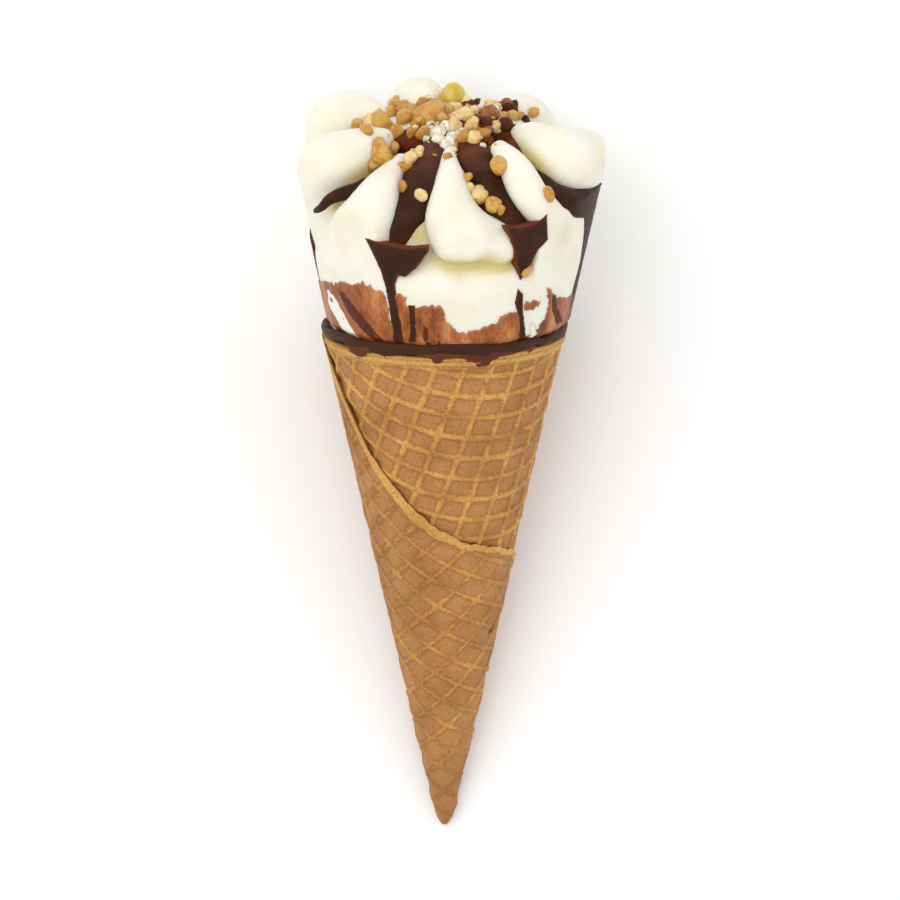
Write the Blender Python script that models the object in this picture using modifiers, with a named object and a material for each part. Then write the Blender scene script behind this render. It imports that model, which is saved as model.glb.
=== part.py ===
"""Ice cream cone: a rolled waffle cone, its chocolate lining, and piped ice cream with sauce and nuts.

Everything is shaped standing up, in millimetres: the axis is Z, the rim is at z = 0, the shown side
faces -Y, and angles turn from the front towards +X. The cone is then laid down on its back.
"""

import math
import random

import bmesh
import bpy
from mathutils import Matrix, Vector
from mathutils.bvhtree import BVHTree

MM = 0.001
WELD = 0.000001

# Driving dimensions, in millimetres and degrees
RIM_RADIUS = 24.7
CONE_LENGTH = 106.0
HALF_ANGLE = 12.43
WAFER = 2.0
HOLLOW_DEPTH = 93.0
GAP = 0.3
LINING = 0.8
LIP_HEIGHT = 2.6
SLEEVE_RADIUS = 24.6
SLEEVE_OFFSET = 0.2
LEFT_PRESS = 0.955
TOP = 52.0
FLAT_DEPTH = 0.3
ROUND_STEPS = 48
CROWN_FACES = 3200

TAPER = math.tan(math.radians(HALF_ANGLE))
APEX = RIM_RADIUS / TAPER

# Heights of the wafer's surface over its nominal cone
BASE_LEVEL = -0.9
SLAB_BOTTOM = -1.3
INNER_WRAP = -0.1
OUTER_WRAP = 0.35
POCKET = 0.6
BORDER = 2.2
BORDER_LAP = 0.5
TIP_CAP = 8.5

# The free edge of the rolled wafer, as angle and height, from the rim down to the tip
SEAM = ((-86, 0), (-67, -10), (-50, -21), (-34, -28.5), (-21, -33), (-7, -37), (11, -40.2),
        (30, -42), (68, -44.6), (105, -50), (145, -62), (176, -78))
SEAM_BAND = 2.1
SEAM_GROOVE = 0.35

# Waffle grids on the unrolled wafer: ridge directions, then the spaces between ridges
INNER_GRID = dict(angles=(-3.5, 72), pitches=(4.3, 5.1))
OUTER_GRID = dict(angles=(-37, 33), pitches=(5.0, 5.2))

# Piped petals, as a spine of (x, y, z, radius) from the folded tip down into the body
PETALS = {
    "front": ((1.1, -8, 38.6, 1.7), (1.6, -12.5, 37.3, 2.7), (2.3, -17.5, 34.8, 4),
              (3.4, -21.5, 31, 5.8), (5, -22.5, 27, 8.6), (5.4, -18.5, 23, 8)),
    "front_left": ((-8.8, -9.5, 37.2, 1.7), (-11.3, -13, 35.8, 3), (-13.8, -17, 33.2, 4.6),
                   (-15.8, -19.5, 29.5, 6.4), (-17.2, -19.5, 24, 7.8), (-16.5, -18.5, 12, 8)),
    "left": ((-12.5, -3, 40.2, 2.2), (-16.5, -6, 39, 4), (-20, -7.5, 36.4, 6.2),
             (-21.6, -7, 32.3, 7.2), (-21.6, -3.5, 25, 7.2), (-18.5, -1, 11, 7.2)),
    "back_left": ((-13, 8, 42.2, 2.5), (-17, 11, 42.4, 4.7), (-21.3, 13, 40.5, 6.6),
                  (-21.8, 14.5, 35, 7.4), (-20.8, 14.5, 26, 7.8), (-17.5, 12.5, 10, 7.5)),
    "back": ((-3, 10, 43.4, 2.6), (-4.5, 14, 44.4, 4.6), (-5.5, 19, 42.6, 6.4),
             (-6, 22.5, 37, 7.3), (-6.3, 23.3, 29, 7.8), (-6, 19.5, 10, 7.8)),
    "back_right": ((11, 12, 42, 2.2), (13.5, 15.5, 42, 4), (15.8, 19, 40, 5.8),
                   (17.5, 21, 35, 7), (17.3, 20.5, 26, 7.8), (15, 17, 10, 7.8)),
    "right": ((15.5, 0, 41.4, 2.4), (18.5, -4, 40.6, 4), (22, -7.5, 38.8, 6),
              (25, -7, 37.4, 6.8), (25.2, 0, 33.6, 7.2), (24, 3, 24, 7.5), (20, 4, 10, 7.5)),
    "ridge": ((11.3, -10.5, 40.5, 1.9), (13.2, -14.5, 38.2, 2.8), (15.4, -18.4, 34.9, 3.3),
              (17.8, -21, 31.6, 3.6), (20.8, -20, 27.5, 4.6), (21.8, -16.8, 21, 6.6),
              (20, -14, 10, 7)),
}

# The mound between the petals, under the nuts
BED = ((-15, 1.5, 36.6, 5), (-9, 4.5, 38.2, 5.4), (0, 6.5, 38.6, 5.6), (7, 7, 38.4, 5.6), (13, 8, 37.6, 5))

# Sauce in the valleys, down to the stems that run to the rim
SAUCE = {
    "between_left": ((-24.5, -19, 28, 1.6), (-20.5, -22.5, 30.3, 2.2), (-15, -21, 33, 2.4),
                     (-11, -15, 36, 2)),
    "left_stem": ((-1.5, -3, 38.6, 3), (-4.5, -12, 36.4, 3.2), (-6.2, -20.5, 32.2, 3.4),
                  (-8, -26.2, 26.5, 3), (-8.6, -27.2, 22, 3.2), (-9.8, -26.4, 17.5, 1.5),
                  (-9.4, -26, 12, 1.4), (-8.7, -25, 6, 1.6)),
    "right_stem": ((3.5, -4, 38.6, 3.2), (6.5, -12, 36.4, 3.2), (10.2, -20, 32.4, 3.2),
                   (14.5, -24.6, 28.2, 3), (16.6, -24.8, 24, 3), (15.8, -24.6, 18, 1.6),
                   (15.7, -23.8, 12, 1.3), (15.6, -22.7, 6.5, 1.4)),
    "right_side": ((12.5, -5, 39.4, 2.2), (18, -14, 35.6, 2), (23, -18.5, 32.8, 2.2),
                   (28, -14, 30.4, 2.2), (28, -9.5, 20, 1.9), (26, -7.5, 8, 1.5)),
}

# Nut pieces, as the place seen from above and the size across
NUTS = ((-16.6, 0, 3.8), (-13.6, -1, 4.4), (-11.2, 2, 3.6), (-8.6, 4, 3.8), (-3.4, 3, 4.2),
        (-9.8, 7, 3.6), (-14.2, -6.4, 4.6), (-7.2, -10.6, 3), (-5.8, -6, 3), (-0.8, -1, 3.6),
        (4.2, 2, 4), (7.4, 0, 3.6), (9.6, 5, 3.8), (7.4, 8, 3.6), (3.2, -5, 3), (12.6, -13, 3),
        (5.4, -13.5, 2.6), (7.4, -18.4, 2.6), (11, -21.6, 2.6), (-5.2, -20.6, 2.2),
        (-8, -17, 2), (17, 17, 2.8), (21, -21.5, 2.6))
NUT_LIFT = 0.3
DROP = ((1.6, 12.2, 44.6), (2.4, 2.6, 3.6))

WAFER_COLOUR = (0.60, 0.33, 0.12)
CHOCOLATE_COLOUR = (0.035, 0.014, 0.009)
ICE_CREAM_COLOUR = (0.93, 0.88, 0.74)


def clear_scene():
    for obj in list(bpy.data.objects):
        bpy.data.objects.remove(obj)


def new_collection(name):
    collection = bpy.data.collections.new(name)
    bpy.context.scene.collection.children.link(collection)
    return collection


def as_object(name, mesh, collection):
    obj = bpy.data.objects.new(name, mesh)
    collection.objects.link(obj)
    return obj


def object_from(name, shape, collection):
    """Makes an object from a bmesh in millimetres."""
    bmesh.ops.scale(shape, vec=Vector((MM, MM, MM)), verts=shape.verts)
    bmesh.ops.recalc_face_normals(shape, faces=shape.faces)
    mesh = bpy.data.meshes.new(name)
    shape.to_mesh(mesh)
    shape.free()
    return as_object(name, mesh, collection)


def apply_all(obj):
    """Replaces the object's mesh with the evaluated one, and welds its seams."""
    graph = bpy.context.evaluated_depsgraph_get()
    graph.update()
    mesh = bpy.data.meshes.new_from_object(obj.evaluated_get(graph))
    shape = bmesh.new()
    shape.from_mesh(mesh)
    bmesh.ops.remove_doubles(shape, verts=shape.verts, dist=WELD)
    shape.to_mesh(mesh)
    shape.free()
    if obj.type == "CURVE":
        solid = as_object(obj.name + "_solid", mesh, obj.users_collection[0])
        bpy.data.objects.remove(obj)
        return solid
    obj.modifiers.clear()
    obj.data = mesh
    return obj


def join_with(obj, operation, target, solver="EXACT"):
    """Applies one Boolean with an object or with a whole collection, which is then removed."""
    modifier = obj.modifiers.new(operation.lower(), "BOOLEAN")
    modifier.operation = operation
    modifier.solver = solver
    if isinstance(target, bpy.types.Collection):
        modifier.operand_type = "COLLECTION"
        modifier.collection = target
        used = list(target.objects)
    else:
        modifier.object = target
        used = [target]
    apply_all(obj)
    for other in used:
        bpy.data.objects.remove(other)
    return obj


def on_cone(angle, radius, z):
    turn = math.radians(angle)
    return Vector((radius * math.sin(turn), -radius * math.cos(turn), z))


def turned(name, profile, collection):
    """Turns (radius, z) points about the axis, from one end on it to the other."""
    shape = bmesh.new()
    points = [shape.verts.new((radius * MM, 0, z * MM)) for radius, z in profile]
    for start, end in zip(points, points[1:]):
        shape.edges.new((start, end))
    mesh = bpy.data.meshes.new(name)
    shape.to_mesh(mesh)
    shape.free()
    obj = as_object(name, mesh, collection)
    screw = obj.modifiers.new("turn", "SCREW")
    screw.steps = screw.render_steps = ROUND_STEPS
    screw.use_merge_vertices = True
    screw.merge_threshold = WELD
    return apply_all(obj)


def tube(name, spine, collection, bevel_resolution=4, steps=3):
    """A round rope of changing thickness through (x, y, z, radius) points."""
    curve = bpy.data.curves.new(name, "CURVE")
    curve.dimensions = "3D"
    curve.bevel_depth = MM
    curve.bevel_resolution = bevel_resolution
    curve.resolution_u = steps
    curve.use_fill_caps = True
    spline = curve.splines.new("BEZIER")
    spline.bezier_points.add(len(spine) - 1)
    for point, (x, y, z, radius) in zip(spline.bezier_points, spine):
        point.co = Vector((x, y, z)) * MM
        point.radius = radius
        point.handle_left_type = point.handle_right_type = "AUTO"
    return apply_all(as_object(name, curve, collection))


def height_along(points, angle):
    """The height of a line through (angle, height) points."""
    for (start, low), (end, high) in zip(points, points[1:]):
        if angle <= end:
            share = max(0.0, (angle - start) / (end - start))
            return low + (high - low) * share
    return points[-1][1]


def unrolled(angle, z):
    """The place of a point of the cone's surface on the flat wafer."""
    distance = (z + APEX) / math.cos(math.radians(HALF_ANGLE))
    turn = math.radians(angle) * math.sin(math.radians(HALF_ANGLE))
    return Vector((distance * math.sin(turn), distance * math.cos(turn)))


def roll_up(obj):
    """Rolls a flat wafer piece, whose Z is its height over the nominal cone."""
    shape = bmesh.new()
    shape.from_mesh(obj.data)
    bmesh.ops.triangulate(shape, faces=shape.faces)
    for vertex in shape.verts:
        x, y, height = vertex.co / MM
        z = math.hypot(x, y) * math.cos(math.radians(HALF_ANGLE)) - APEX
        angle = math.degrees(math.atan2(x, y) / math.sin(math.radians(HALF_ANGLE)))
        vertex.co = on_cone(angle, (z + APEX) * TAPER + height, z) * MM
    shape.to_mesh(obj.data)
    shape.free()


def waffle_slab(name, angles, pitches, crest, collection):
    """A flat slab with sunken pockets between two families of sharp ridges."""
    first, second = (math.radians(angle) for angle in angles)
    along = pitches[1] / math.sin(second - first)
    across = pitches[0] / math.sin(second - first)
    step_one = Vector((math.cos(first), math.sin(first))) * along
    step_two = Vector((math.cos(second), math.sin(second))) * across
    shape = bmesh.new()
    corners = {}

    def corner(i, j, height):
        key = (i, j, height)
        if key not in corners:
            place = step_one * i + step_two * j
            corners[key] = shape.verts.new((place.x, place.y, height))
        return corners[key]

    cells = []
    for i in range(-60, 61):
        for j in range(-60, 61):
            middle = step_one * (i + 0.5) + step_two * (j + 0.5)
            inside = 5 < middle.length < APEX + 8
            if inside and abs(math.atan2(middle.x, middle.y)) < math.radians(44):
                cells.append((i, j))
    kept = set(cells)
    for i, j in cells:
        top = [corner(i + di, j + dj, crest) for di, dj in ((0, 0), (1, 0), (1, 1), (0, 1))]
        centre = sum((vertex.co for vertex in top), Vector()) / 4
        floor = []
        for vertex in top:
            inner = centre.lerp(vertex.co, 0.64)
            floor.append(shape.verts.new((inner.x, inner.y, crest - POCKET)))
        shape.faces.new(floor)
        for a in range(4):
            b = (a + 1) % 4
            shape.faces.new((top[a], top[b], floor[b], floor[a]))
        low = [corner(i + di, j + dj, SLAB_BOTTOM) for di, dj in ((0, 0), (0, 1), (1, 1), (1, 0))]
        shape.faces.new(low)
        sides = (((0, 0), (1, 0), (0, -1)), ((1, 0), (1, 1), (1, 0)),
                 ((1, 1), (0, 1), (0, 1)), ((0, 1), (0, 0), (-1, 0)))
        for start, end, beside in sides:
            if (i + beside[0], j + beside[1]) not in kept:
                a, b = (i + start[0], j + start[1]), (i + end[0], j + end[1])
                shape.faces.new((corner(*a, SLAB_BOTTOM), corner(*b, SLAB_BOTTOM),
                                 corner(*b, crest), corner(*a, crest)))
    return object_from(name, shape, collection)


def outline_prism(name, outline, collection):
    """A thick flat plate with the given outline, to cut a slab to its shape."""
    curve = bpy.data.curves.new(name, "CURVE")
    curve.dimensions = "2D"
    curve.fill_mode = "BOTH"
    curve.extrude = 5 * MM
    spline = curve.splines.new("POLY")
    spline.points.add(len(outline) - 1)
    for point, place in zip(spline.points, outline):
        point.co = (place.x * MM, place.y * MM, 0, 1)
    spline.use_cyclic_u = True
    return apply_all(as_object(name, curve, collection))


def seam_height(angle):
    return height_along(SEAM, angle)


def wrap_outline(wrap):
    """The border of the inner or the outer wrap of the wafer, on the flat wafer."""
    back = 178
    if wrap == "inner":
        start = SEAM[0][0] + 9
        rim = [unrolled(angle, BORDER_LAP - BORDER) for angle in range(back, start, -6)]
        edge = [unrolled(angle, seam_height(angle) + SEAM_GROOVE)
                for angle in range(start, int(SEAM[-1][0]) + 1, 5)]
        return rim + edge
    rim = [unrolled(angle, BORDER_LAP - BORDER) for angle in range(-back, SEAM[0][0] - 3, 6)]
    edge = [unrolled(angle, seam_height(angle) - SEAM_BAND)
            for angle in range(SEAM[0][0] + 2, int(SEAM[-1][0]) + 1, 5)]
    tip = [unrolled(angle, TIP_CAP - 0.6 - CONE_LENGTH) for angle in range(back, -back - 1, -12)]
    return rim + edge + tip


def waffle_wrap(wrap, grid, crest, collection):
    slab = waffle_slab(wrap + "_wrap", grid["angles"], grid["pitches"], crest, collection)
    join_with(slab, "INTERSECT", outline_prism(wrap + "_outline", wrap_outline(wrap), collection))
    roll_up(slab)
    return slab


def seam_strip(collection):
    """The smooth border along the free edge of the wafer, standing over the wrap beside it."""
    shape = bmesh.new()
    rows = []
    for angle in range(SEAM[0][0], int(SEAM[-1][0]) + 1, 6):
        edge = seam_height(angle)
        row = []
        for z, height in ((edge, OUTER_WRAP + 0.1), (edge - SEAM_BAND - 0.3, OUTER_WRAP - 0.1),
                          (edge - SEAM_BAND - 0.3, BASE_LEVEL - 0.2), (edge, BASE_LEVEL - 0.2)):
            radius = (z + APEX) * TAPER + height
            row.append(shape.verts.new(on_cone(angle, radius, z)))
        rows.append(row)
    for row, other in zip(rows, rows[1:]):
        for a in range(4):
            b = (a + 1) % 4
            shape.faces.new((row[a], row[b], other[b], other[a]))
    shape.faces.new(rows[0])
    shape.faces.new(reversed(rows[-1]))
    return object_from("seam_strip", shape, collection)


def waffle_cone(parts, pieces):
    """The wafer: a smooth wall with a rim border and a round tip, under its two waffle wraps."""
    def outer(z, height=0.0):
        return ((z + APEX) * TAPER + height, z)

    profile = [outer(-HOLLOW_DEPTH, -WAFER), outer(0, -WAFER), outer(0.25, -1.4),
               outer(0.25, -0.6), outer(-0.2, 0), outer(-BORDER, 0), outer(-BORDER, BASE_LEVEL),
               outer(TIP_CAP - CONE_LENGTH, BASE_LEVEL), outer(TIP_CAP - 0.3 - CONE_LENGTH, 0.1),
               outer(2 - CONE_LENGTH, 0.1), outer(0.6 - CONE_LENGTH, -0.3)]
    profile[0] = (max(profile[0][0], 1.2), -HOLLOW_DEPTH)
    wall = [(0, -HOLLOW_DEPTH)] + profile + [(0, -CONE_LENGTH)]
    cone = turned("waffle_cone", wall, parts)
    waffle_wrap("inner", INNER_GRID, INNER_WRAP, pieces)
    waffle_wrap("outer", OUTER_GRID, OUTER_WRAP, pieces)
    seam_strip(pieces)
    return join_with(cone, "UNION", pieces, "MANIFOLD")


def chocolate_lining(parts):
    """The dark coat inside the wafer, with a lip that stands over its rim, a little wavy."""
    inside = RIM_RADIUS - WAFER - GAP

    def wall(z, inset=0.0):
        return (max(inside + z * TAPER - inset, 0.5), z)

    bottom = GAP - HOLLOW_DEPTH
    profile = [wall(LINING - HOLLOW_DEPTH + GAP, LINING), wall(-2.2, LINING),
               (RIM_RADIUS - 0.9, LIP_HEIGHT - 0.5), (RIM_RADIUS - 0.45, LIP_HEIGHT),
               (RIM_RADIUS + 0.25, LIP_HEIGHT - 0.2), (RIM_RADIUS + 0.3, 1.2),
               (RIM_RADIUS + 0.05, 0.6), (RIM_RADIUS - 2.15, 0.6), wall(-0.3), wall(bottom)]
    lining = turned("chocolate_lining", [(0, LINING - HOLLOW_DEPTH + GAP)] + profile
                    + [(0, bottom)], parts)
    for vertex in lining.data.vertices:
        x, y, z = vertex.co / MM
        if z > LIP_HEIGHT - 0.9:
            angle = math.atan2(x, -y)
            vertex.co.z += MM * (0.25 * math.sin(5 * angle + 1) + 0.15 * math.sin(11 * angle))
    return lining


def sleeve(name, extra, collection):
    """The cone that presses the ice cream's sides flat."""
    low = LIP_HEIGHT + 0.75
    radius = SLEEVE_RADIUS + extra
    profile = [(0, TOP), (radius + TOP * TAPER, TOP), (radius + low * TAPER, low),
               (RIM_RADIUS - 1.3, low), (0, low)]
    cone = turned(name, profile, collection)
    for vertex in cone.data.vertices:
        if vertex.co.x < 0:
            vertex.co.x *= LEFT_PRESS
        vertex.co.x += SLEEVE_OFFSET * MM
    return cone


def crown(parts, pieces):
    """The piped body: a core with petals round it, drawn together like soft cream."""
    def pressed(z, depth):
        return (SLEEVE_RADIUS + z * TAPER - depth, z)

    core = turned("core", [(0, 38.5), (7, 38), (12, 36), (17, 33), pressed(27, 4.5), pressed(24, 2.6),
                           pressed(20.5, 1.6), pressed(17, 0.9), pressed(13, -0.3),
                           pressed(1.5, -0.3), (0, 1.5)], pieces)
    ropes = [tube(name, spine, pieces) for name, spine in PETALS.items()]
    ropes.append(tube("bed", BED, pieces))
    shape = bmesh.new()
    for obj in [core] + ropes:
        shape.from_mesh(obj.data)
        bpy.data.objects.remove(obj)
    mesh = bpy.data.meshes.new("ice_cream")
    shape.to_mesh(mesh)
    shape.free()
    body = as_object("ice_cream", mesh, parts)
    voxels = body.modifiers.new("melt", "REMESH")
    voxels.mode = "VOXEL"
    voxels.voxel_size = 0.6 * MM
    soften = body.modifiers.new("soften", "SMOOTH")
    soften.factor = 0.5
    soften.iterations = 4
    apply_all(body)
    thin = body.modifiers.new("thin", "DECIMATE")
    thin.ratio = CROWN_FACES / len(body.data.polygons) / 2
    apply_all(body)
    return join_with(body, "INTERSECT", sleeve("sleeve", 0, pieces))


def nut(name, place, size, draw, collection):
    """One angular chip of nut."""
    shape = bmesh.new()
    bmesh.ops.create_icosphere(shape, subdivisions=1, radius=size / 2)
    for vertex in shape.verts:
        vertex.co *= draw.uniform(0.82, 1.12)
    stretch = Matrix.Diagonal((1.15, 0.9, 0.85)).to_4x4()
    spin = Matrix.Rotation(draw.uniform(0, math.tau), 4, Vector((draw.random(), 1, 0.5)))
    bmesh.ops.transform(shape, matrix=Matrix.Translation(place) @ spin @ stretch, verts=shape.verts)
    return object_from(name, shape, collection)


def toppings(body, pieces):
    """Sauce streaks held inside the sleeve, nut pieces where they land, and one drop of syrup."""
    for name, spine in SAUCE.items():
        streak = tube(name, spine, pieces, bevel_resolution=2, steps=2)
        join_with(streak, "INTERSECT", sleeve("sauce_sleeve", 0.2, pieces))
    draw = random.Random(7)
    surface = BVHTree.FromPolygons([vertex.co / MM for vertex in body.data.vertices],
                                   [face.vertices for face in body.data.polygons])
    for index, (x, y, size) in enumerate(NUTS):
        landing = surface.ray_cast(Vector((x, y, TOP)), Vector((0, 0, -1)))[0]
        nut(f"nut_{index}", landing + Vector((0, 0, size * NUT_LIFT)), size, draw, pieces)
    drop = bmesh.new()
    bmesh.ops.create_uvsphere(drop, u_segments=10, v_segments=7, radius=1)
    bmesh.ops.scale(drop, vec=Vector(DROP[1]), verts=drop.verts)
    bmesh.ops.translate(drop, vec=Vector(DROP[0]), verts=drop.verts)
    object_from("drop", drop, pieces)


def plug(pieces):
    """The ice cream inside the cone, clear of the lining all the way to its tip."""
    radius = RIM_RADIUS - WAFER - GAP - LINING - GAP
    low = LINING + GAP + GAP - HOLLOW_DEPTH
    profile = [(0, 8), (RIM_RADIUS - 1.2, 8), (RIM_RADIUS - 1.2, LIP_HEIGHT - 0.55),
               (radius - 2.4 * TAPER, -2.4), (max(radius + low * TAPER, 0.4), low), (0, low)]
    return turned("plug", profile, pieces)


def ice_cream(parts, pieces):
    body = crown(parts, pieces)
    toppings(body, pieces)
    plug(pieces)
    return join_with(body, "UNION", pieces)


def rest_turn():
    """The turn that lays the cone on its back, with its lower side level."""
    return math.radians(HALF_ANGLE - 90)


def floor_block(depth, cutters):
    """A block under the lying cone that leaves a small flat where the cone touches the floor."""
    shape = bmesh.new()
    bmesh.ops.create_cube(shape, size=1)
    bmesh.ops.scale(shape, vec=Vector((120, 300, 40)), verts=shape.verts)
    reach = SLEEVE_RADIUS * math.cos(math.radians(HALF_ANGLE)) - depth
    lowered = Matrix.Translation(Vector((0, 0, -reach - 20)))
    upright = Matrix.Rotation(-rest_turn(), 4, "X")
    bmesh.ops.transform(shape, matrix=upright @ lowered, verts=shape.verts)
    block = object_from("floor_block", shape, cutters)
    block.hide_render = True
    block.display_type = "WIRE"
    return block


def paint(obj, colour, roughness):
    material = bpy.data.materials.new(obj.name)
    material.use_nodes = True
    shader = material.node_tree.nodes["Principled BSDF"]
    shader.inputs["Base Color"].default_value = (*colour, 1)
    shader.inputs["Roughness"].default_value = roughness
    obj.data.materials.clear()
    obj.data.materials.append(material)


def lay_down(objects, cutters):
    """Turns everything onto its back, with the flat on the floor and the box centred."""
    pose = bpy.data.objects.new("rest_pose", None)
    bpy.context.scene.collection.objects.link(pose)
    turn = Matrix.Rotation(rest_turn(), 4, "X")
    corners = [turn @ vertex.co for obj in objects for vertex in obj.data.vertices]
    middle = [(min(point[axis] for point in corners) + max(point[axis] for point in corners)) / 2
              for axis in (0, 1)]
    lowest = (SLEEVE_RADIUS * math.cos(math.radians(HALF_ANGLE)) - FLAT_DEPTH) * MM
    pose.location = (-middle[0], -middle[1], lowest)
    pose.rotation_euler = (rest_turn(), 0, 0)
    for obj in objects + list(cutters.objects):
        obj.parent = pose


def main():
    clear_scene()
    parts = new_collection("ice_cream_cone")
    pieces = new_collection("pieces")
    cutters = new_collection("cutters")
    cone = waffle_cone(parts, pieces)
    lining = chocolate_lining(parts)
    cream = ice_cream(parts, pieces)
    block = floor_block(FLAT_DEPTH, cutters)
    for obj in (cone, lining, cream):
        flat = obj.modifiers.new("flat", "BOOLEAN")
        flat.operation = "DIFFERENCE"
        flat.object = block
    paint(cone, WAFER_COLOUR, 0.75)
    paint(lining, CHOCOLATE_COLOUR, 0.35)
    paint(cream, ICE_CREAM_COLOUR, 0.5)
    lay_down([cone, lining, cream], cutters)


main()
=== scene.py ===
import math

import bpy
import numpy
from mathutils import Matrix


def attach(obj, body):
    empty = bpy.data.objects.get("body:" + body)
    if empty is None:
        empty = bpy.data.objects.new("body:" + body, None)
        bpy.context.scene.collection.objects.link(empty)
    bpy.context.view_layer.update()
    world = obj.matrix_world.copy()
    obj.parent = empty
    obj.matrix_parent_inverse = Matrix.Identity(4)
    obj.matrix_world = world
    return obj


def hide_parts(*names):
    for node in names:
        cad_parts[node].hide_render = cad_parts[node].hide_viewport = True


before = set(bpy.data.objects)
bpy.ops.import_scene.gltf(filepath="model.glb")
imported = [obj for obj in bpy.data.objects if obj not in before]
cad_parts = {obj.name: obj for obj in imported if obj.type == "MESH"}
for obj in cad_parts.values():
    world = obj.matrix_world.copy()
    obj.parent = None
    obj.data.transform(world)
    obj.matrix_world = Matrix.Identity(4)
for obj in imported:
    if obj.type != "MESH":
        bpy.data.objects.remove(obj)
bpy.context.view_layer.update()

import openvdb
from mathutils import Matrix, Vector
from mathutils.bvhtree import BVHTree
from mathutils.geometry import delaunay_2d_cdt

# The wafer: one sheet of sweet batter, baked between two waffle plates and rolled hot into a cone.
# Its free edge winds down across the front. Everything is shaped standing up, in millimetres, with
# the rim at height 0 and the shown side facing -Y, and is then laid on its back.
MM = 0.001
HALF_ANGLE = math.radians(12.43)
SLOPE = math.tan(HALF_ANGLE)
RIM_RADIUS = 24.7
APEX_DEPTH = RIM_RADIUS / SLOPE
TIP = -106.0
RIM_CENTRE = (-1.859, 25.792, 23.723)
LAID_DOWN = (Matrix.Translation(Vector(RIM_CENTRE) * MM)
             @ Matrix.Rotation(HALF_ANGLE - math.pi / 2, 4, "X") @ Matrix.Scale(MM, 4))


def laid_down(points):
    """Turns upright points in millimetres into places in the frame."""
    turn = numpy.array(LAID_DOWN)
    return numpy.asarray(points) @ turn[:3, :3].T + turn[:3, 3]


def mesh_piece(name, points, faces, material, masks=None, smooth=True):
    """Makes a piece from upright points and faces, with one value per point for each mask."""
    mesh = bpy.data.meshes.new(name)
    mesh.from_pydata(laid_down(points).tolist(), [], [tuple(face) for face in faces])
    for key, values in (masks or {}).items():
        layer = mesh.attributes.new(key, "FLOAT", "POINT")
        layer.data.foreach_set("value", numpy.asarray(values, dtype=numpy.float32))
    mesh.polygons.foreach_set("use_smooth", [smooth] * len(mesh.polygons))
    mesh.materials.append(material)
    piece = bpy.data.objects.new(name, mesh)
    bpy.context.scene.collection.objects.link(piece)
    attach(piece, "root")
    return piece


def wobble(x, y, z, size, seed):
    """Smooth noise of about -1 to 1, with features of the given size."""
    draw = numpy.random.default_rng(seed)
    total = 0.0
    for _ in range(7):
        way = draw.normal(size=3)
        way *= math.tau * draw.uniform(0.7, 1.4) / size / numpy.linalg.norm(way)
        total = total + numpy.sin(x * way[0] + y * way[1] + z * way[2] + draw.uniform(0, math.tau))
    return total / 3.2


def ease(low, high, value):
    """A smooth step from 0 at low to 1 at high."""
    share = numpy.clip((value - low) / (high - low), 0, 1)
    return share * share * (3 - 2 * share)


def node(tree, kind, inputs=None, **settings):
    """Adds a shader node; its inputs take a value or another node's output."""
    made = tree.nodes.new("ShaderNode" + kind)
    for key, value in settings.items():
        setattr(made, key, value)
    for key, value in (inputs or {}).items():
        if isinstance(value, bpy.types.NodeSocket):
            tree.links.new(value, made.inputs[key])
        else:
            made.inputs[key].default_value = value
    return made


def material_with_shader(name):
    material = bpy.data.materials.new(name)
    material.use_nodes = True
    tree = material.node_tree
    return material, tree, tree.nodes["Principled BSDF"]


def colour(red, green, blue):
    """A colour as it looks on a screen, 0 to 255, as the shader's linear values."""
    return tuple((part / 255 / 12.92) if part < 11 else ((part / 255 + 0.055) / 1.055) ** 2.4
                 for part in (red, green, blue)) + (1,)


def ramp(tree, factor, stops):
    """A colour ramp through (place, colour) stops."""
    made = node(tree, "ValToRGB", {"Fac": factor})
    marks = made.color_ramp.elements
    while len(marks) < len(stops):
        marks.new(1)
    for mark, (place, shade) in zip(marks, stops):
        mark.position = place
        mark.color = shade
    return made.outputs["Color"]


def mixed(tree, share, first, second, blend="MIX"):
    """Two colours mixed by a share, or blended in another way."""
    made = node(tree, "Mix", {0: share, 6: first, 7: second}, data_type="RGBA", blend_type=blend)
    return made.outputs[2]


def surface_place(tree):
    """The place on the surface, in millimetres."""
    where = node(tree, "TexCoord").outputs["Object"]
    return node(tree, "VectorMath", {0: where, "Scale": 1 / MM}, operation="SCALE").outputs["Vector"]


def mask(tree, key):
    return node(tree, "Attribute", attribute_name=key).outputs["Fac"]


def grain_group():
    """Uneven baked or frozen grain: a broad mask, a fine mask, and the normal of the fine relief."""
    group = bpy.data.node_groups.new("grain", "ShaderNodeTree")
    for label, kind in (("Place", "NodeSocketVector"), ("Broad size", "NodeSocketFloat"),
                        ("Fine size", "NodeSocketFloat"), ("Relief", "NodeSocketFloat")):
        group.interface.new_socket(label, in_out="INPUT", socket_type=kind)
    for label, kind in (("Broad", "NodeSocketFloat"), ("Fine", "NodeSocketFloat"),
                        ("Normal", "NodeSocketVector")):
        group.interface.new_socket(label, in_out="OUTPUT", socket_type=kind)
    given = group.nodes.new("NodeGroupInput").outputs
    result = group.nodes.new("NodeGroupOutput").inputs
    for label in ("Broad", "Fine"):
        scale = node(group, "Math", {0: 1.0, 1: given[label + " size"]}, operation="DIVIDE")
        noise = node(group, "TexNoise", {"Vector": given["Place"], "Scale": scale.outputs[0],
                                         "Detail": 3.0, "Roughness": 0.55})
        group.links.new(noise.outputs["Fac"], result[label])
    height = node(group, "Math", {0: noise.outputs["Fac"], 1: given["Relief"]}, operation="MULTIPLY")
    bump = node(group, "Bump", {"Height": height.outputs[0], "Distance": MM})
    group.links.new(bump.outputs["Normal"], result["Normal"])
    return group


GRAIN = grain_group()


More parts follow.
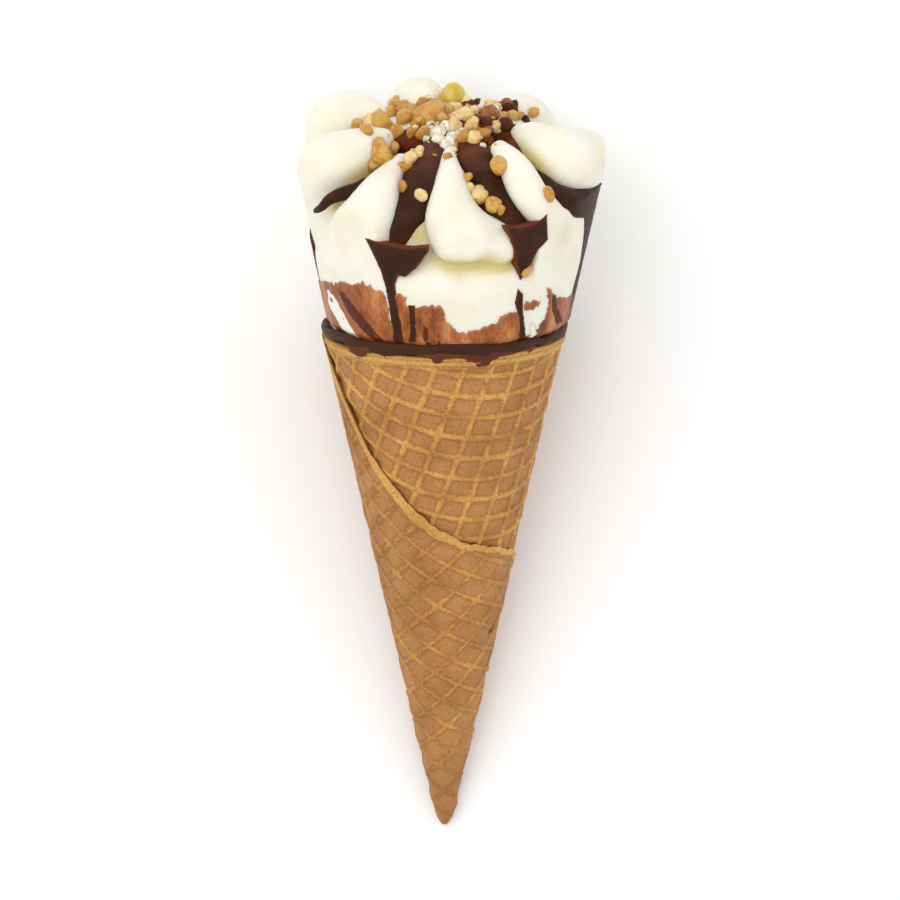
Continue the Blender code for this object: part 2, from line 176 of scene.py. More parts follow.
def grain(tree, place, broad, fine, relief):
    made = node(tree, "Group", node_tree=GRAIN)
    tree.links.new(place, made.inputs["Place"])
    for label, value in (("Broad size", broad), ("Fine size", fine), ("Relief", relief)):
        made.inputs[label].default_value = value
    return made.outputs


def set_finish(tree, shader, tone, normal, roughness, gloss=0.5, soft=0.0, depth=(1.0, 0.2, 0.1)):
    """Gives a shader its colour and relief, its roughness and gloss, and how deep light sinks in."""
    tree.links.new(tone, shader.inputs["Base Color"])
    tree.links.new(normal, shader.inputs["Normal"])
    shader.inputs["Roughness"].default_value = roughness
    shader.inputs["Specular IOR Level"].default_value = gloss
    if soft:
        shader.inputs["Subsurface Weight"].default_value = soft
        shader.inputs["Subsurface Radius"].default_value = depth
        shader.inputs["Subsurface Scale"].default_value = MM


# The free edge, as angle from the front and height, and the two waffle grids that it divides. Each
# grid has the place, direction and spacing of its two sets of ridges on the flat sheet.
FREE_EDGE = numpy.array(((-86, 0), (-67, -10), (-50, -21.6), (-45, -23.6), (-37, -27.4), (-26.5, -31),
                         (-17.4, -34.2), (-8.6, -36.4), (0, -38.1), (11, -40), (22, -41.2), (37, -42),
                         (68, -44.6), (105, -50), (145, -62), (176, -78)))
UPPER_GRID = dict(middle=95.83, turn=(0.81598, 0.16651, -0.06121), row=(2.88167, -0.04265, -0.21587))
LOWER_GRID = dict(middle=57.25, turn=(1.86783, 0.13071, -0.13308), row=(1.61782, -0.1115, -0.18643))
ROW_BEND, BEND_REACH = 0.0007, 30
BORDER = 2.2
UPPER_CREST, LOWER_CREST = -0.1, 0.35
UPPER_POCKET, LOWER_POCKET = 0.6, 0.42
UPPER_WIDTH, LOWER_WIDTH = 0.58, 0.4
UNDERLAP = 4.5
COARSE_BELOW = -80
TIP_ROUND = 3.2
# a small tear, as angle and height, with its size in both, its slant and its depth
TEAR, TEAR_SIZE, TEAR_SLANT, TEAR_DEPTH = (63.5, -61.8), (4.5, 0.9), 0.12, 1.3


def free_edge(angle):
    """The height of the sheet's free edge, a little chipped."""
    chips = 0.2 * numpy.sin(angle * 0.31) + 0.13 * numpy.sin(angle * 0.83 + 1)
    return numpy.interp(angle, FREE_EDGE[:, 0], FREE_EDGE[:, 1]) + chips * ease(-86, -78, angle)


def waffle(angle, z, grid, crest_width):
    """How much of a ridge there is at each point of the rolled sheet, from 0 in a pocket to 1."""
    distance = (z + APEX_DEPTH) / math.cos(HALF_ANGLE)
    turn = numpy.radians(angle) * math.sin(HALF_ANGLE)
    x, y = distance * numpy.sin(turn), distance * numpy.cos(turn) - grid["middle"]
    shift = 0.2 * wobble(x, y, 0 * x, 9, 3) + 0.13 * wobble(x, y, 0 * x, 2.4, 4)
    ridge = 0
    for part, bend in (("turn", 0), ("row", ROW_BEND if grid is UPPER_GRID else 0)):
        start, across, along = grid[part]
        phase = start + across * x + along * y + bend * numpy.minimum(x * x, BEND_REACH ** 2)
        pitch = 1 / math.hypot(across, along)
        away = (0.5 - numpy.abs(phase - numpy.round(phase))) * pitch + shift * 0.5
        ridge = numpy.maximum(ridge, 1 - ease(crest_width * 0.3, crest_width + 0.55, numpy.abs(away)))
    return ridge * numpy.clip(0.85 + 0.25 * wobble(x, y, 0 * x, 5, 6), 0.45, 1)


def cone_points(angle, z, level):
    """Points at a level over the wafer's nominal cone."""
    radius = numpy.maximum((z + APEX_DEPTH) * SLOPE + level, 0)
    turn = numpy.radians(angle)
    return numpy.stack([radius * numpy.sin(turn), -radius * numpy.cos(turn), z + 0 * turn], axis=-1)


def unevenness(angle, z, seed):
    """Broad unevenness of the baked sheet."""
    return wobble(*numpy.moveaxis(cone_points(angle, z, 0), -1, 0), 6, seed)


def rim_lines(z):
    """Fine lines round the rim's border, from -1 in a groove to 1."""
    return numpy.sin((z + 0.3) * 5.2)


def grid_faces(rows, columns, first=0):
    at = numpy.arange(rows * columns).reshape(rows, columns) + first
    return numpy.stack([at[:-1, :-1], at[:-1, 1:], at[1:, 1:], at[1:, :-1]], axis=-1).reshape(-1, 4)


def tip_profile(z):
    """The level near the tip, where the sheet is squeezed smooth and round."""
    end = numpy.clip((z - TIP) / TIP_ROUND, 0, 1)
    full = (z + APEX_DEPTH) * SLOPE
    return -full + full * numpy.sqrt(1 - (1 - end) ** 2)


def make_wafer():
    front = numpy.linspace(-112, 112, 221)
    back = numpy.linspace(112, 180, 41)[1:]
    angles = numpy.concatenate([-back[::-1], front, back])
    points, faces, relief, painted_shade_and_darkening = [], [], [], []

    def add(angle, z, level, ridge, dark):
        faces.extend(grid_faces(*angle.shape, first=sum(len(part) for part in points)).tolist())
        points.append(cone_points(angle, z, level).reshape(-1, 3))
        relief.append(ridge.ravel())
        painted_shade_and_darkening.append(dark.ravel())

    # the wrap above the free edge, which runs on for a little under the outer wrap
    start, first_angle = -0.25, -94
    upper_angles = angles[angles >= first_angle]
    rows = numpy.linspace(0, 1, 112)[:, None]
    low = free_edge(upper_angles) - UNDERLAP
    angle = upper_angles + 0 * rows
    z = start + (low - start) * rows
    ridge = waffle(angle, z, UPPER_GRID, UPPER_WIDTH)
    rim = ease(-BORDER - 0.5, -BORDER + 0.3, z)
    line = 0.2 * rim_lines(z) * rim
    level = UPPER_CREST - UPPER_POCKET * (1 - ridge)
    level = level * (1 - rim) + (0.02 + line) * rim
    level += 0.06 * unevenness(angle, z, 5)
    top_z = numpy.array([[-0.3], [0.05], [0.25], [0.2], [-0.02]]) + 0 * upper_angles
    top_level = numpy.array([[-2.0], [-1.6], [-1.1], [-0.5], [-0.1]]) + 0 * upper_angles
    uneven = 0.12 * wobble(upper_angles / 9, 0, 0, 3, 8)
    # darker: the rim's rounded top, and painted shade in the grooves of the rim lines
    add(numpy.vstack([angle[:5], angle]), numpy.vstack([top_z + uneven, z]),
        numpy.vstack([top_level, level]), numpy.vstack([0 * top_z + 1, numpy.maximum(ridge, rim)]),
        numpy.vstack([0 * top_z + 0.3, 0.3 * rim * ease(0.3, 0.9, -rim_lines(z))]))

    # the outer wrap, whose edge stands off the ridges under it
    flap = ease(-89, -84, angles)
    top = free_edge(angles) * flap
    rows = numpy.linspace(0, 1, 186)[:, None]
    angle = angles + 0 * rows
    z = top + (COARSE_BELOW - top) * rows
    below = (top - z) / math.cos(HALF_ANGLE)
    ridge = waffle(angle, z, LOWER_GRID, LOWER_WIDTH)
    smooth_band = 3.2 - 2.0 * ease(-30, 20, angle)
    border = 1 - ease(smooth_band, smooth_band + 0.8, below)
    line = 0.12 * rim_lines(z) * border * (1 - flap)
    level = LOWER_CREST - LOWER_POCKET * (1 - ridge)
    level = level * (1 - border) + (0.42 * flap + line) * border
    level += 0.06 * unevenness(angle, z, 9)
    beside = angle - TEAR[0]
    over = z - TEAR[1] - beside * TEAR_SLANT
    tear = numpy.exp(-((beside / TEAR_SIZE[0]) ** 2 + (over / TEAR_SIZE[1]) ** 2))
    level -= TEAR_DEPTH * tear
    # each row's height and level at the free edge, and where the edge is the rim itself
    edge_rows = (((-UNDERLAP, -0.35), (-0.3, -2.0)), ((-1.0, -0.25), (0.05, -1.6)),
                 ((-0.12, -0.2), (0.25, -1.1)), ((0, -0.1), (0.22, -0.5)), ((0.02, 0.3), (0.05, -0.1)))
    edge_z = numpy.array([top + a[0] * flap + b[0] * (1 - flap) for a, b in edge_rows])
    edge_level = numpy.array([a[1] * flap + b[1] * (1 - flap) for a, b in edge_rows])
    # darker: painted shade on the free edge's wall and underside, where it overhangs, and painted shade in
    # the tear's dent
    add(numpy.vstack([angle[:5], angle]), numpy.vstack([edge_z, z]), numpy.vstack([edge_level, level]),
        numpy.vstack([0 * edge_z + 0.6, numpy.maximum(0.8 * ridge * (1 - border), border)]),
        numpy.vstack([0 * edge_z + 0.6, tear]))

    # the end of the roll, on fewer columns, down to the round tip
    last = sum(len(part) for part in points) - len(angles)
    step = 4
    tip_angles = angles[::step]
    rows = (1 - (1 - numpy.linspace(0, 1, 72)) ** 1.15)[:, None]
    angle = tip_angles + 0 * rows
    z = COARSE_BELOW + (TIP - COARSE_BELOW) * rows + 0 * tip_angles
    fade = 1 - ease(TIP + 3, TIP + 26, z)
    ridge = waffle(angle, z, LOWER_GRID, LOWER_WIDTH)
    level = LOWER_CREST - LOWER_POCKET * (1 - ridge * (1 - 0.6 * fade)) + 0.1 * fade
    level += (0.06 + 0.1 * fade) * unevenness(angle, z, 9)
    end = ease(TIP, TIP + 4, z)
    level = level * end + tip_profile(z)
    keep = slice(1, None)
    first = sum(len(part) for part in points)
    # a little darker towards the tip
    add(angle[keep], z[keep], level[keep], 0.8 * ridge[keep] * (1 - 0.6 * fade[keep]), 0.1 * fade[keep])
    for column in range(len(tip_angles) - 1):
        fine = [last + column * step + part for part in range(step + 1)]
        faces.append(fine + [first + column + 1, first + column])

    # the inside, hidden by the lining
    inner_angles = numpy.linspace(-180, 180, 61)
    z = numpy.array([-0.3, -30, -60, -93, -93])[:, None]
    inside = numpy.array([-2.0, -2.0, -2.0, -2.0, -30])[:, None]
    add(inner_angles + 0 * z, z + 0 * inner_angles, inside + 0 * inner_angles,
        0 * z + 0 * inner_angles, 0 * z + 0 * inner_angles)
    return numpy.concatenate(points), faces, numpy.concatenate(relief), numpy.concatenate(painted_shade_and_darkening)


def wafer_material():
    material, tree, shader = material_with_shader("wafer")
    place = surface_place(tree)
    baked = grain(tree, place, broad=9.0, fine=0.55, relief=0.16)
    crumbly = node(tree, "Math", {0: baked["Fine"], 1: 0.5, 2: -0.25}, operation="MULTIPLY_ADD")
    height = node(tree, "Math", {0: mask(tree, "ridge"), 1: crumbly.outputs[0]}, operation="ADD",
                  use_clamp=True)
    # the darker stop at 0.3 darkens the foot of each ridge: partly its crumbly darker crust, partly painted
    # shade in the crease between ridge and pocket
    ridge = ramp(tree, height.outputs[0], ((0.0, colour(192, 140, 84)), (0.3, colour(176, 120, 62)),
                                           (0.6, colour(196, 142, 74)), (1.0, colour(221, 172, 90))))
    patchy = ramp(tree, baked["Broad"], ((0.3, colour(228, 218, 204)), (0.62, colour(255, 255, 255))))
    grainy = ramp(tree, baked["Fine"], ((0.3, colour(226, 214, 198)), (0.6, colour(255, 255, 255))))
    tone = mixed(tree, 1.0, ridge, patchy, "MULTIPLY")
    tone = mixed(tree, 1.0, tone, grainy, "MULTIPLY")
    # the dark mask: painted shade in the rim's grooves, under the free edge and in the tear, and a darker
    # rim top and tip
    tone = mixed(tree, mask(tree, "dark"), tone, colour(70, 36, 16))
    set_finish(tree, shader, tone, baked["Normal"], roughness=0.62, gloss=0.3, soft=0.08,
               depth=(0.9, 0.45, 0.2))
    return material


wafer_points, wafer_faces, wafer_ridge, wafer_dark = make_wafer()
wafer = mesh_piece("wafer", wafer_points, wafer_faces, wafer_material(),
                   {"ridge": wafer_ridge, "dark": wafer_dark})
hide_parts("waffle_cone")

# The chocolate lining: dark fat glaze, sprayed inside the wafer to keep it crisp. Its lip stands over
# the rim as a wavy satin band.
LINING_OUTSIDE = RIM_RADIUS - 2.3


def make_lining():
    columns = 260
    angle = numpy.linspace(-180, 180, columns + 1)[:-1]
    turn = numpy.radians(angle)
    wave = 0.3 * numpy.sin(5 * turn + 1) + 0.2 * numpy.sin(11 * turn) + 0.13 * numpy.sin(23 * turn + 2)
    wave -= 0.6 * ease(30, 75, abs(angle)) * (1 - ease(120, 160, abs(angle)))
    drip = 0.26 * numpy.sin(7 * turn + 2) + 0.17 * numpy.sin(17 * turn + 0.5)
    drip += 0.1 * numpy.sin(31 * turn + 1)
    swell = 0.1 * numpy.sin(9 * turn + 1) + 0.07 * numpy.sin(20 * turn)
    # (radius, height, share of the top wave, share of the lower wave)
    outline = ((0.05, -91.9, 0, 0), (2.0, -91.9, 0, 0), (21.1, -2.2, 0, 0), (23.2, 2.2, 0.4, 0),
               (23.9, 2.7, 1, 0), (24.4, 2.9, 1, 0), (24.8, 2.9, 1, 0), (25.05, 2.6, 1, 0.1),
               (25.15, 2.1, 0.8, 0.4), (25.12, 1.5, 0.4, 0.7), (25.05, 0.9, 0, 1), (24.95, 0.6, 0, 1),
               (24.75, 0.45, 0, 1), (23.6, 0.5, 0, 0), (22.6, 0.55, 0, 0), (LINING_OUTSIDE, -0.3, 0, 0),
               (LINING_OUTSIDE - 92.4 * SLOPE, -92.7, 0, 0), (0.05, -92.7, 0, 0))
    points = []
    for radius, z, top, low in outline:
        height = z + wave * top + drip * low
        wide = radius + swell * top
        points.append(numpy.stack([wide * numpy.sin(turn), -wide * numpy.cos(turn), height + 0 * turn], -1))
    faces = []
    for row in range(len(outline) - 1):
        for column in range(columns):
            beside = (column + 1) % columns
            faces.append((row * columns + column, row * columns + beside,
                          (row + 1) * columns + beside, (row + 1) * columns + column))
    return numpy.concatenate(points), faces


def chocolate_material(name, dark, thin, roughness, relief):
    """Dark chocolate that looks redder where its mask says that it is thin."""
    material, tree, shader = material_with_shader(name)
    texture = grain(tree, surface_place(tree), broad=5.0, fine=0.5, relief=relief)
    share = node(tree, "Math", {0: texture["Broad"], 1: 0.5, 2: -0.2}, operation="MULTIPLY_ADD")
    total = node(tree, "Math", {0: mask(tree, "thin"), 1: share.outputs[0]}, operation="ADD",
                 use_clamp=True)
    tone = mixed(tree, total.outputs[0], dark, thin)
    set_finish(tree, shader, tone, texture["Normal"], roughness, gloss=0.14)
    return material


lining_points, lining_faces = make_lining()
lining_chocolate = chocolate_material("chocolate lining", colour(62, 33, 18), colour(100, 52, 28),
                                      roughness=0.5, relief=0.2)
lining = mesh_piece("chocolate_lip", lining_points, lining_faces, lining_chocolate)
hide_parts("chocolate_lining")

# The ice cream: white cream piped as eight petals into a cone sleeve, which pressed their outer sides
# flat. Soft cream, frozen hard, with pale yellow shade painted into its folds and hollows.
SLEEVE_RADIUS, SLEEVE_OFFSET, LEFT_PRESS = 24.6, 0.2, 0.955
FLOOR_CUT = SLEEVE_RADIUS * math.cos(HALF_ANGLE) - 0.3
CREAM_BOTTOM = 3.3
UP_WHEN_LAID = (-0.9766, 0.2153)
PETALS = {
    "front": (((1.1, -8, 38.8, 1.4), (1.0, -12.5, 37.3, 1.9), (1.0, -17.5, 34.6, 2.9),
               (1.2, -21.5, 31, 4.2), (1.4, -23.6, 27.4, 5), (2, -25, 24.6, 4.9)),
              ((1.2, -17, 34.4, 2.0), (2.2, -20.8, 31, 3.0), (3.8, -23.6, 27.8, 4.1), (5.4, -25, 24.6, 4.8)),
              ((4.0, -21.8, 28.2, 2.6), (6.8, -23, 25.6, 3.6), (10.2, -23.2, 23.4, 4.4))),
    "front left": (((-8.8, -9.5, 36.8, 1.9), (-10.8, -13, 35, 2.9), (-12.8, -17, 32, 4.1),
                    (-14.8, -20, 28, 5.8), (-16.8, -20, 23, 7), (-16.5, -18.5, 12, 8)),),
    "left": (((-12.5, -3, 40.2, 2.2), (-16, -6, 39.3, 4), (-19.5, -7.5, 37.4, 6), (-22.8, -7.5, 35.4, 6.6),
              (-23.5, -4, 31, 6.4), (-21.6, -1.5, 25, 7.2), (-18.5, -1, 11, 7.2)),),
    "back left": (((-13, 8, 42.2, 2.5), (-17, 11, 42.4, 4.7), (-21.3, 13, 40.5, 6.6),
                   (-21.8, 14.5, 35, 7.4), (-20.8, 14.5, 26, 7.8), (-17.5, 12.5, 10, 7.5)),),
    "back": (((-3, 10, 43.4, 2.6), (-4.5, 14, 44.4, 4.6), (-5.5, 19, 42.6, 6.4),
              (-6, 22.5, 37, 7.3), (-6.3, 23.3, 29, 7.8), (-6, 19.5, 10, 7.8)),),
    "back right": (((11, 12, 42, 2.2), (13.5, 15.5, 42, 4), (15.8, 19, 40, 5.8),
                    (17.5, 21, 35, 7), (17.3, 20.5, 26, 7.8), (15, 17, 10, 7.8)),),
    "right": (((15.5, -1, 40.8, 2.4), (18.5, -4.5, 39.8, 4.2), (21.8, -8, 37.9, 5.9), (25.4, -8, 37.2, 6),
               (27.5, -3, 37, 5.6)),
              ((21.8, -9, 37, 4.8), (25, -9, 36, 5.2), (28.4, -6, 35.8, 4.8), (30, 0, 36, 4.6))),
    "right, below": (((25.5, 6, 34, 6.5), (24, 3, 25, 6.6), (23, 2, 20, 7), (20, 4, 10, 7.5)),),
    "ridge": (((11.3, -10.5, 39.6, 2), (13.2, -14.5, 38.2, 2.9), (15.4, -18.4, 34.9, 3.4),
               (17.8, -21, 31.6, 3.6), (20.8, -20, 27.2, 4), (21.8, -17.5, 22, 6), (20, -14, 10, 7)),
              ((25.4, -12, 24.6, 3.6), (25, -10.5, 19, 5.5), (23, -8, 10, 6))),
}
BED = ((-15, 1.5, 36.6, 5), (-9, 4.5, 38.2, 5.4), (0, 6.5, 38.8, 5.6), (7, 7.5, 39.4, 5.6),
       (13, 8, 38.2, 5))
# painted shade: spots in hollows and under overhangs painted pale yellow, as (x, y, z, radius, strength)
PAINTED_SHADE_SPOTS = ((16.5, -18.5, 36, 3.2, 0.3), (-2.8, -23.8, 31, 2.2, 0.32), (24.5, -13, 41, 5, 0.16),
          (11, -12, 38, 2.4, 0.25), (24.5, -17.5, 23.4, 5.5, 0.28), (20, -8, 41, 4, 0.2),
          (-5.7, -24, 25.7, 2.6, 0.7), (-4, -28, 20.2, 3.4, 0.34), (2.5, -28.5, 19.6, 3.4, 0.4),
          (8.5, -27, 20, 3.4, 0.45), (12.5, -25, 19, 2.4, 0.4))
# how far the cream reaches to the left at each height, where the sleeve pressed it most
LEFT_REACH = ((0, 8, 14, 18.7, 22.7, 27.6, 35, 50), (30, 27, 25.9, 26.3, 27.2, 28.2, 29.7, 33))
CELL, FAR = 0.42, 9.0
BOX_LOW, BOX_HIGH = (-32.0, -32.0, 2.0), (32.0, 32.5, 56.0)


def sleeve_depth(x, y, z, radius=SLEEVE_RADIUS):
    """How far inside the pressed sleeve a point lies, as a negative number."""
    across = (x - SLEEVE_OFFSET) / numpy.where(x < SLEEVE_OFFSET, LEFT_PRESS, 1.0)
    return (numpy.sqrt(across * across + y * y) - radius - z * SLOPE) * math.cos(HALF_ANGLE)


def smooth_line(spine, steps):
    """Extra points on a soft curve through the spine's points."""
    spine = numpy.array(spine, dtype=float)
    ends = numpy.vstack([2 * spine[0] - spine[1], spine, 2 * spine[-1] - spine[-2]])
    line = []
    for a, b, c, d in zip(ends, ends[1:], ends[2:], ends[3:]):
        for share in numpy.arange(steps) / steps:
            line.append(0.5 * (2 * b + (c - a) * share + (2 * a - 5 * b + 4 * c - d) * share ** 2
                               + (3 * b - a - 3 * c + d) * share ** 3))
    return numpy.array(line + [spine[-1]])


def melt(first, second, width):
    """The union of two distance fields, softened where they meet."""
    near = numpy.maximum(width - numpy.abs(first - second), 0) / width
    return numpy.minimum(first, second) - near * near * width / 4


def box_axes(cell):
    return [numpy.arange(low, high, cell, dtype=numpy.float32) for low, high in zip(BOX_LOW, BOX_HIGH)]


def add_rope(field, axes, spine, width, reach=4.0, steps=4):
    """Adds a round rope of changing thickness to a distance field."""
    line = smooth_line(spine, steps)
    low = (line[:, :3] - line[:, 3:]).min(axis=0) - reach
    high = (line[:, :3] + line[:, 3:]).max(axis=0) + reach
    part = tuple(slice(*numpy.searchsorted(axis, (a, b))) for axis, a, b in zip(axes, low, high))
    x, y, z = numpy.meshgrid(*(axis[cut] for axis, cut in zip(axes, part)), indexing="ij", sparse=True)
    rope = numpy.full(field[part].shape, FAR, dtype=numpy.float32)
    for start, end in zip(line, line[1:]):
        way = end[:3] - start[:3]
        share = ((x - start[0]) * way[0] + (y - start[1]) * way[1] + (z - start[2]) * way[2]) / (way @ way)
        share = numpy.clip(share, 0, 1)
        gap = numpy.sqrt((x - start[0] - share * way[0]) ** 2 + (y - start[1] - share * way[1]) ** 2
                         + (z - start[2] - share * way[2]) ** 2)
        rope = numpy.minimum(rope, gap - start[3] - share * (end[3] - start[3]))
    field[part] = melt(field[part], rope, width)


def turned_field(axes, profile):
    """The distance to a solid turned about the axis, from its (radius, height) outline."""
    x, y, z = numpy.meshgrid(*axes, indexing="ij", sparse=True)
    radius = numpy.sqrt(x * x + y * y)
    heights = numpy.array([point[1] for point in profile][::-1])
    radii = numpy.array([point[0] for point in profile][::-1])
    return numpy.maximum((radius - numpy.interp(z, heights, radii)) * 0.9, z - heights[-1])


def mesh_of(field, cell):
    """The skin of a distance field, as points in millimetres and faces."""
    grid = openvdb.FloatGrid()
    grid.copyFromArray(field.astype(numpy.float32))
    grid.gridClass = openvdb.GridClass.LEVEL_SET
    points, triangles, quads = grid.convertToPolygons(isovalue=0.0, adaptivity=0.0)
    faces = triangles[:, ::-1].tolist() + quads[:, ::-1].tolist()
    return points * cell + numpy.array(BOX_LOW), faces


def field_at(field, points, cell):
    places = numpy.rint((points - numpy.array(BOX_LOW)) / cell).astype(int)
    places = numpy.clip(places, 1, numpy.array(field.shape) - 2)
    return tuple(places.T)


def folds(field, points, cell):
    """How much of the open air near each point is shut off by cream, from 0 to 1."""
    i, j, k = field_at(field, points, cell)
    outwards = numpy.stack([field[i + 1, j, k] - field[i - 1, j, k], field[i, j + 1, k] - field[i, j - 1, k],
                            field[i, j, k + 1] - field[i, j, k - 1]], axis=-1)
    outwards /= numpy.linalg.norm(outwards, axis=1)[:, None] + 1e-6
    shut = 0
    for reach in (1.5, 3.0, 4.5):
        there = points + outwards * reach
        within = ((there > BOX_LOW) & (there < BOX_HIGH)).all(axis=1)
        shut = shut + within * numpy.clip(1 - field[field_at(field, there, cell)] / reach, 0, 1) / 3
    return shut


def make_cream():
    axes = box_axes(CELL)
    pressed = [(SLEEVE_RADIUS + z * SLOPE - depth, z)
               for z, depth in ((27, 6.5), (24, 4.8), (21, 3.4), (18.5, 1.9), (16.5, 0.8), (14.8, 0.2),
                                (13.5, -0.3), (0, -0.3))]
    field = turned_field(axes, [(0, 38.5), (7, 38), (12, 36), (17, 33)] + pressed).astype(numpy.float32)
    add_rope(field, axes, BED, 1.2)
    for spines in PETALS.values():
        petal = numpy.full(field.shape, FAR, dtype=numpy.float32)
        for spine in spines:
            add_rope(petal, axes, spine, 2.2)
        field = melt(field, petal, 0.45)
    x, y, z = numpy.meshgrid(*axes, indexing="ij", sparse=True)
    field += 0.22 * wobble(x, y, z, 13, 11).astype(numpy.float32)
    field = -melt(-field, -sleeve_depth(x, y, z), 0.5)
    field = -melt(-field, x + numpy.interp(z, *LEFT_REACH), 0.5)
    lying = UP_WHEN_LAID[0] * y + UP_WHEN_LAID[1] * z
    field = numpy.maximum(field, -(lying + FLOOR_CUT))
    field = numpy.maximum(field, CREAM_BOTTOM - z)
    points, faces = mesh_of(field, CELL)
    # painted shade: pale yellow in creases, by how much cream shuts off the open air, and in the spots above
    painted_shade = 0.62 * folds(field, points, CELL)
    for *middle, size, strength in PAINTED_SHADE_SPOTS:
        painted_shade += strength * numpy.exp(-(((points - middle) / size) ** 2).sum(axis=1))
    return points, faces, painted_shade


def cream_material():
    material, tree, shader = material_with_shader("ice cream")
    texture = grain(tree, surface_place(tree), broad=7.0, fine=0.7, relief=0.2)
    base = ramp(tree, texture["Broad"], ((0.35, colour(240, 234, 213)), (0.65, colour(245, 241, 228))))
    # painted shade: the cream turns pale yellow in its creases and hollows
    painted_shade = node(tree, "MapRange", {0: mask(tree, "fold_shade"), 1: 0.12, 2: 0.62},
                  interpolation_type="SMOOTHSTEP")
    tone = mixed(tree, painted_shade.outputs[0], base, colour(218, 202, 142))
    set_finish(tree, shader, tone, texture["Normal"], roughness=0.5, gloss=0.2, soft=0.6,
               depth=(1.6, 1.3, 0.7))
    return material


def make_plug(first):
    """The cream inside the cone, hidden by the wafer and its lining."""
    angle = numpy.linspace(-180, 180, 49)
    outline = ((23.4, 3.6), (23.4, 2.1), (20.7, -2.4), (0.9, -91.8), (0.0, -91.8))
    radius = numpy.array(outline)[:, :1] + 0 * angle
    turn = numpy.radians(angle) + 0 * radius
    z = numpy.array(outline)[:, 1:] + 0 * angle
    points = numpy.stack([radius * numpy.sin(turn), -radius * numpy.cos(turn), z], axis=-1)
    return points.reshape(-1, 3), grid_faces(*z.shape, first=first).tolist()


cream_points, cream_faces, cream_fold_shade = make_cream()
plug_points, plug_faces = make_plug(len(cream_points))
cream = mesh_piece("cream", numpy.vstack([cream_points, plug_points]), cream_faces + plug_faces,
                   cream_material(), {"fold_shade": numpy.append(cream_fold_shade, numpy.zeros(len(plug_points)))})
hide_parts("ice_cream")

# The sauce: thick dark chocolate, poured over the middle. It filled the valleys between the petals
# and set there, redder where it lies thin. Each spine is a rope as (x, y, z, thickness) points.
SAUCE = {
    "between left petals": ((-26.5, -13.5, 27.6, 0.5), (-24.6, -15.6, 28.9, 0.9), (-23, -16.4, 30.6, 1.1),
                            (-20.6, -17.3, 31.9, 1.3), (-18.2, -17.4, 32.7, 1.4), (-15.8, -16.4, 33.6, 1.3)),
    "left of the front petal": ((-0.6, -2, 38.6, 3.4), (-3, -8, 36, 4.2), (-4, -14, 32.8, 4.8),
                                (-5.2, -18.4, 29.4, 4.6), (-7.6, -21.4, 26.6, 3.4),
                                (-9.3, -22.6, 23.6, 2.2)),
    "right of the front petal": ((4.6, -2, 38.4, 3.6), (6.2, -8, 36.2, 4.4), (8.6, -14, 32.4, 4.8),
                                 (11.2, -18, 28.6, 4.6), (14.2, -21, 25, 3.8)),
    "under the right petal": ((13, 0, 39.4, 2.4), (15, -5.5, 37.4, 2.8), (17.4, -10.6, 34.6, 2.8),
                              (20, -15.6, 31.4, 3.2), (23.4, -14.8, 29.6, 3.4), (26.6, -12, 29, 3.2),
                              (29.6, -7.5, 29, 3), (30.5, -3, 29.5, 2.5)),
    "left side": ((-26.9, -4, 22.4, 0.3), (-26.6, -4.5, 20, 0.6), (-26, -5, 17.5, 0.8),
                  (-25.6, -5.5, 14, 0.8), (-25.3, -6, 10.5, 0.8), (-24.7, -6, 7, 0.8),
                  (-24.2, -5.5, 3.5, 0.8)),
    "pool": ((-9.5, -1.5, 39.4, 2), (-5, -1.5, 40, 2.8), (0, 0, 40.2, 3), (6.5, 1.5, 40.6, 3.2),
             (11.5, 2, 40.8, 2.8), (14.5, 0.5, 40.6, 2)),
}
SAUCE_CELL = 0.4


def make_sauce():
    axes = box_axes(SAUCE_CELL)
    field = numpy.full([len(axis) for axis in axes], FAR, dtype=numpy.float32)
    for spine in SAUCE.values():
        add_rope(field, axes, spine, 0.8)
    x, y, z = numpy.meshgrid(*axes, indexing="ij", sparse=True)
    field += 0.2 * wobble(x, y, z, 6, 21).astype(numpy.float32)
    field = -melt(-field, -sleeve_depth(x, y, z, SLEEVE_RADIUS + 0.1), 0.4)
    points, faces = mesh_of(field, SAUCE_CELL)
    high, low = ease(34, 40, points[:, 2]), ease(-26, -23.5, -points[:, 2])
    thin = (0.75 * high + 0.8 * low) * (0.6 + 0.4 * wobble(*points.T, 4, 33))
    return points, faces, thin


sauce_points, sauce_faces, sauce_thin = make_sauce()
sauce_chocolate = chocolate_material("sauce", colour(52, 26, 11), colour(116, 54, 26),
                                     roughness=0.46, relief=0.4)
sauce = mesh_piece("sauce", sauce_points, sauce_faces, sauce_chocolate, {"thin": sauce_thin})
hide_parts("ice_cream")

# The glaze on the pressed sides: flags and stems of sauce that the sleeve squeezed flat, and a thin
# milk-brown film above the rim. Each outline is in photo pixels, and is laid on the sleeve's cone or,
# for the drips under the lip, on the wafer.
PHOTO_WIDTH, PHOTO_DISTANCE, PHOTO_RISE = 184.95, 1000.0, math.radians(14.25)
PHOTO_PIXELS = 900
LOOKED_AT = numpy.array((1.13, 0, -25.0))
TO_CAMERA = numpy.array((0, -math.cos(PHOTO_RISE), math.sin(PHOTO_RISE)))
PHOTO_UP = numpy.array((0, math.sin(PHOTO_RISE), math.cos(PHOTO_RISE)))
CAMERA_PLACE = LOOKED_AT + TO_CAMERA * PHOTO_DISTANCE

